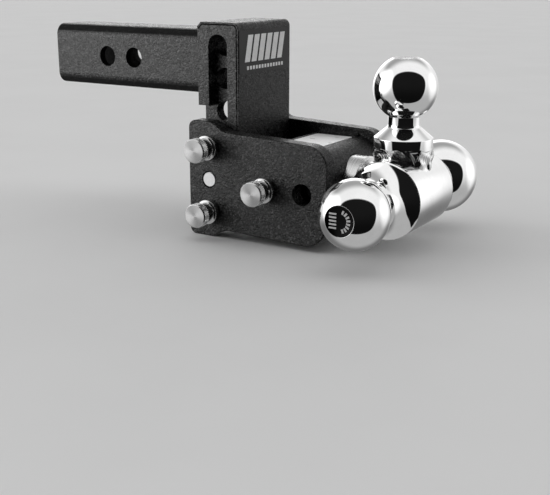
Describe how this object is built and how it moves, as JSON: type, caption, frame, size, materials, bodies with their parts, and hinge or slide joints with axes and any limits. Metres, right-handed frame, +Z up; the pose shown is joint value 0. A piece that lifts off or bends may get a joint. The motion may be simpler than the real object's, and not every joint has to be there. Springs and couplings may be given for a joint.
{
  "type": "adjustable trailer hitch with three towing balls",
  "caption": "Height-adjustable trailer hitch: hollow square shank, slotted drop post, pinned carriage, and a cross of chrome towing balls.",
  "frame": {"origin": "centre of the rear hitch pin bore, on the axis of the shank", "axes": "+X along the shank towards the balls, +Z up, -Y the side that the pins are pulled out on"},
  "size_m": [0.3493, 0.2037, 0.165],
  "materials": {
    "powder_coat": "fine textured black powder coat",
    "stainless": "turned and brushed stainless steel, knurled grips",
    "chrome": "polished chrome plate",
    "chrome_weld": "chrome plate over a rippled weld bead",
    "decal": "thin dark sticker with a plain light graphic of bars",
    "label": "blank pale sticker",
    "bearing_steel": "polished bearing steel",
    "spring_steel": "drawn spring wire"
  },
  "bodies": {
    "hitch": {"shank_tube": "powder_coat", "shank_weld": "powder_coat", "post_face_plate": "powder_coat", "post_backing_plate": "powder_coat", "post_decal": "decal", "ball_housing": "powder_coat", "housing_welds": "powder_coat", "housing_label": "label", "near_web_plate": "powder_coat", "far_web_plate": "powder_coat", "near_guide_rail": "powder_coat", "far_guide_rail": "powder_coat", "near_side_plate": "powder_coat", "far_side_plate": "powder_coat", "near_guide_stud": "stainless", "far_guide_stud": "stainless", "ball_shaft": "chrome", "ball_cross_body": "chrome", "shaft_weld": "chrome_weld", "small_ball": "chrome", "small_ball_weld": "chrome_weld", "medium_ball": "chrome", "large_ball": "chrome"},
    "upper_height_pin": {"upper_height_pin": "stainless", "upper_height_pin_detent_spring": "spring_steel"},
    "upper_height_pin_detent": {"upper_height_pin_detent_ball": "bearing_steel"},
    "lower_height_pin": {"lower_height_pin": "stainless", "lower_height_pin_detent_spring": "spring_steel"},
    "lower_height_pin_detent": {"lower_height_pin_detent_ball": "bearing_steel"},
    "ball_pin": {"ball_pin": "stainless", "ball_pin_detent_spring": "spring_steel"},
    "ball_pin_detent": {"ball_pin_detent_ball": "bearing_steel"}
  },
  "joints": [
    {"name": "upper_height_pin_pull", "type": "slide", "parent": "hitch", "child": "upper_height_pin", "axis": [0, -1, 0], "range_m": [0, 0.12], "deforming": ["upper_height_pin_detent_ball"]},
    {"name": "upper_height_pin_detent_press", "type": "slide", "parent": "upper_height_pin", "child": "upper_height_pin_detent", "axis": [0, 0, -1], "range_m": [0, 0.0013], "stiffness_N_per_m": 1500, "springref_m": -0.002, "deforming": ["upper_height_pin_detent_spring"]},
    {"name": "lower_height_pin_pull", "type": "slide", "parent": "hitch", "child": "lower_height_pin", "axis": [0, -1, 0], "range_m": [0, 0.12], "deforming": ["lower_height_pin_detent_ball"]},
    {"name": "lower_height_pin_detent_press", "type": "slide", "parent": "lower_height_pin", "child": "lower_height_pin_detent", "axis": [0, 0, -1], "range_m": [0, 0.0013], "stiffness_N_per_m": 1500, "springref_m": -0.002, "deforming": ["lower_height_pin_detent_spring"]},
    {"name": "ball_pin_pull", "type": "slide", "parent": "hitch", "child": "ball_pin", "axis": [0, -1, 0], "range_m": [0, 0.12], "deforming": ["ball_pin_detent_ball"]},
    {"name": "ball_pin_detent_press", "type": "slide", "parent": "ball_pin", "child": "ball_pin_detent", "axis": [0, 0, -1], "range_m": [0, 0.0013], "stiffness_N_per_m": 1500, "springref_m": -0.002, "deforming": ["ball_pin_detent_spring"]}
  ]
}
